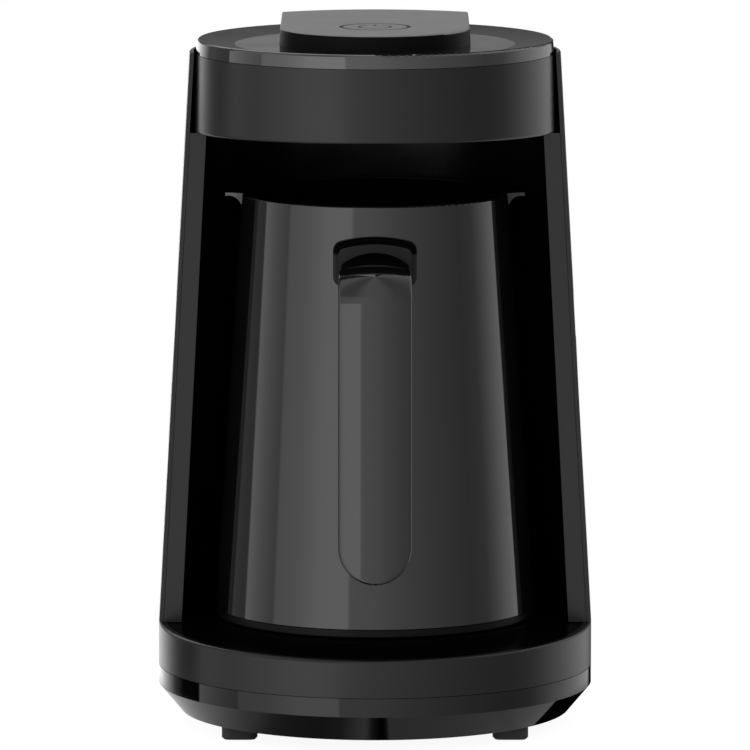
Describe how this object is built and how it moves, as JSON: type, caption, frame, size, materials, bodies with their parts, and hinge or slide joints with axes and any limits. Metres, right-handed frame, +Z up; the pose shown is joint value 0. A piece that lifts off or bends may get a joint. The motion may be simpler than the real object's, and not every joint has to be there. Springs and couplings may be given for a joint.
{
  "type": "electric turkish coffee maker",
  "caption": "Slim round coffee maker with a niche, a lift-out tapered pot with hanging handle and pouring beaks, and a top plate with one round push button.",
  "frame": {"origin": "centre of the round base on the surface it stands on", "axes": "+Z up, -Y towards the user and the pot's handle, +X to the user's right"},
  "size_m": [0.16, 0.17, 0.2594],
  "materials": {
    "satin_black": "satin moulded plastic",
    "gloss_black": "polished black",
    "lining_black": "semi-gloss moulded black",
    "gloss_grey": "polished dark grey",
    "pot_metal": "anthracite metallic lacquer on steel",
    "plate_grey": "polished grey-black",
    "rubber": "matt",
    "steel": "zinc plated",
    "aluminium": "cast",
    "brass": "plain",
    "board": "green laminate",
    "inner_plastic": "plain moulded",
    "window": "dark infrared lens",
    "silicone": "soft silicone"
  },
  "bodies": {
    "machine": {"base_pan": "gloss_black", "base_trim_ring": "gloss_black", "rubber_feet": "rubber", "base_housing": "satin_black", "base_screws": "steel", "tray_plate": "lining_black", "power_board": "board", "power_parts": "inner_plastic", "cord_gland": "rubber", "rear_shell": "satin_black", "niche_wall": "lining_black", "shell_screws": "steel", "plug_prongs": "brass", "plug_block": "inner_plastic", "wire_harness": "rubber", "head_housing": "satin_black", "head_underside": "lining_black", "sensor_window": "window", "foam_sensor": "inner_plastic", "head_lid": "gloss_grey", "top_disc": "gloss_grey", "control_plate": "plate_grey", "control_board": "board", "board_screws": "steel", "switch_housing": "inner_plastic", "board_parts": "inner_plastic", "button_pad": "silicone"},
    "button": {"button_cap": "plate_grey", "switch_plunger": "inner_plastic"},
    "pot": {"pot_vessel": "pot_metal", "pot_base_ring": "satin_black", "pot_bottom_cover": "inner_plastic", "pot_screws": "steel", "heater_plate": "aluminium", "heating_element": "steel", "thermal_cutout": "inner_plastic", "pot_socket": "inner_plastic", "socket_contacts": "brass", "handle_grip": "pot_metal", "arm_cover": "satin_black", "handle_screw": "steel", "handle_bracket": "steel", "handle_collar": "gloss_black"}
  },
  "joints": [
    {"name": "button_press", "type": "slide", "parent": "machine", "child": "button", "axis": [0, 0, -1], "range_m": [0, 0.001], "stiffness_N_per_m": 1500, "springref_m": -0.0005, "deforming": ["button_pad"]},
    {"name": "pot_pull", "type": "slide", "parent": "machine", "child": "pot", "axis": [0, -1, 0], "range_m": [0, 0.17]}
  ]
}
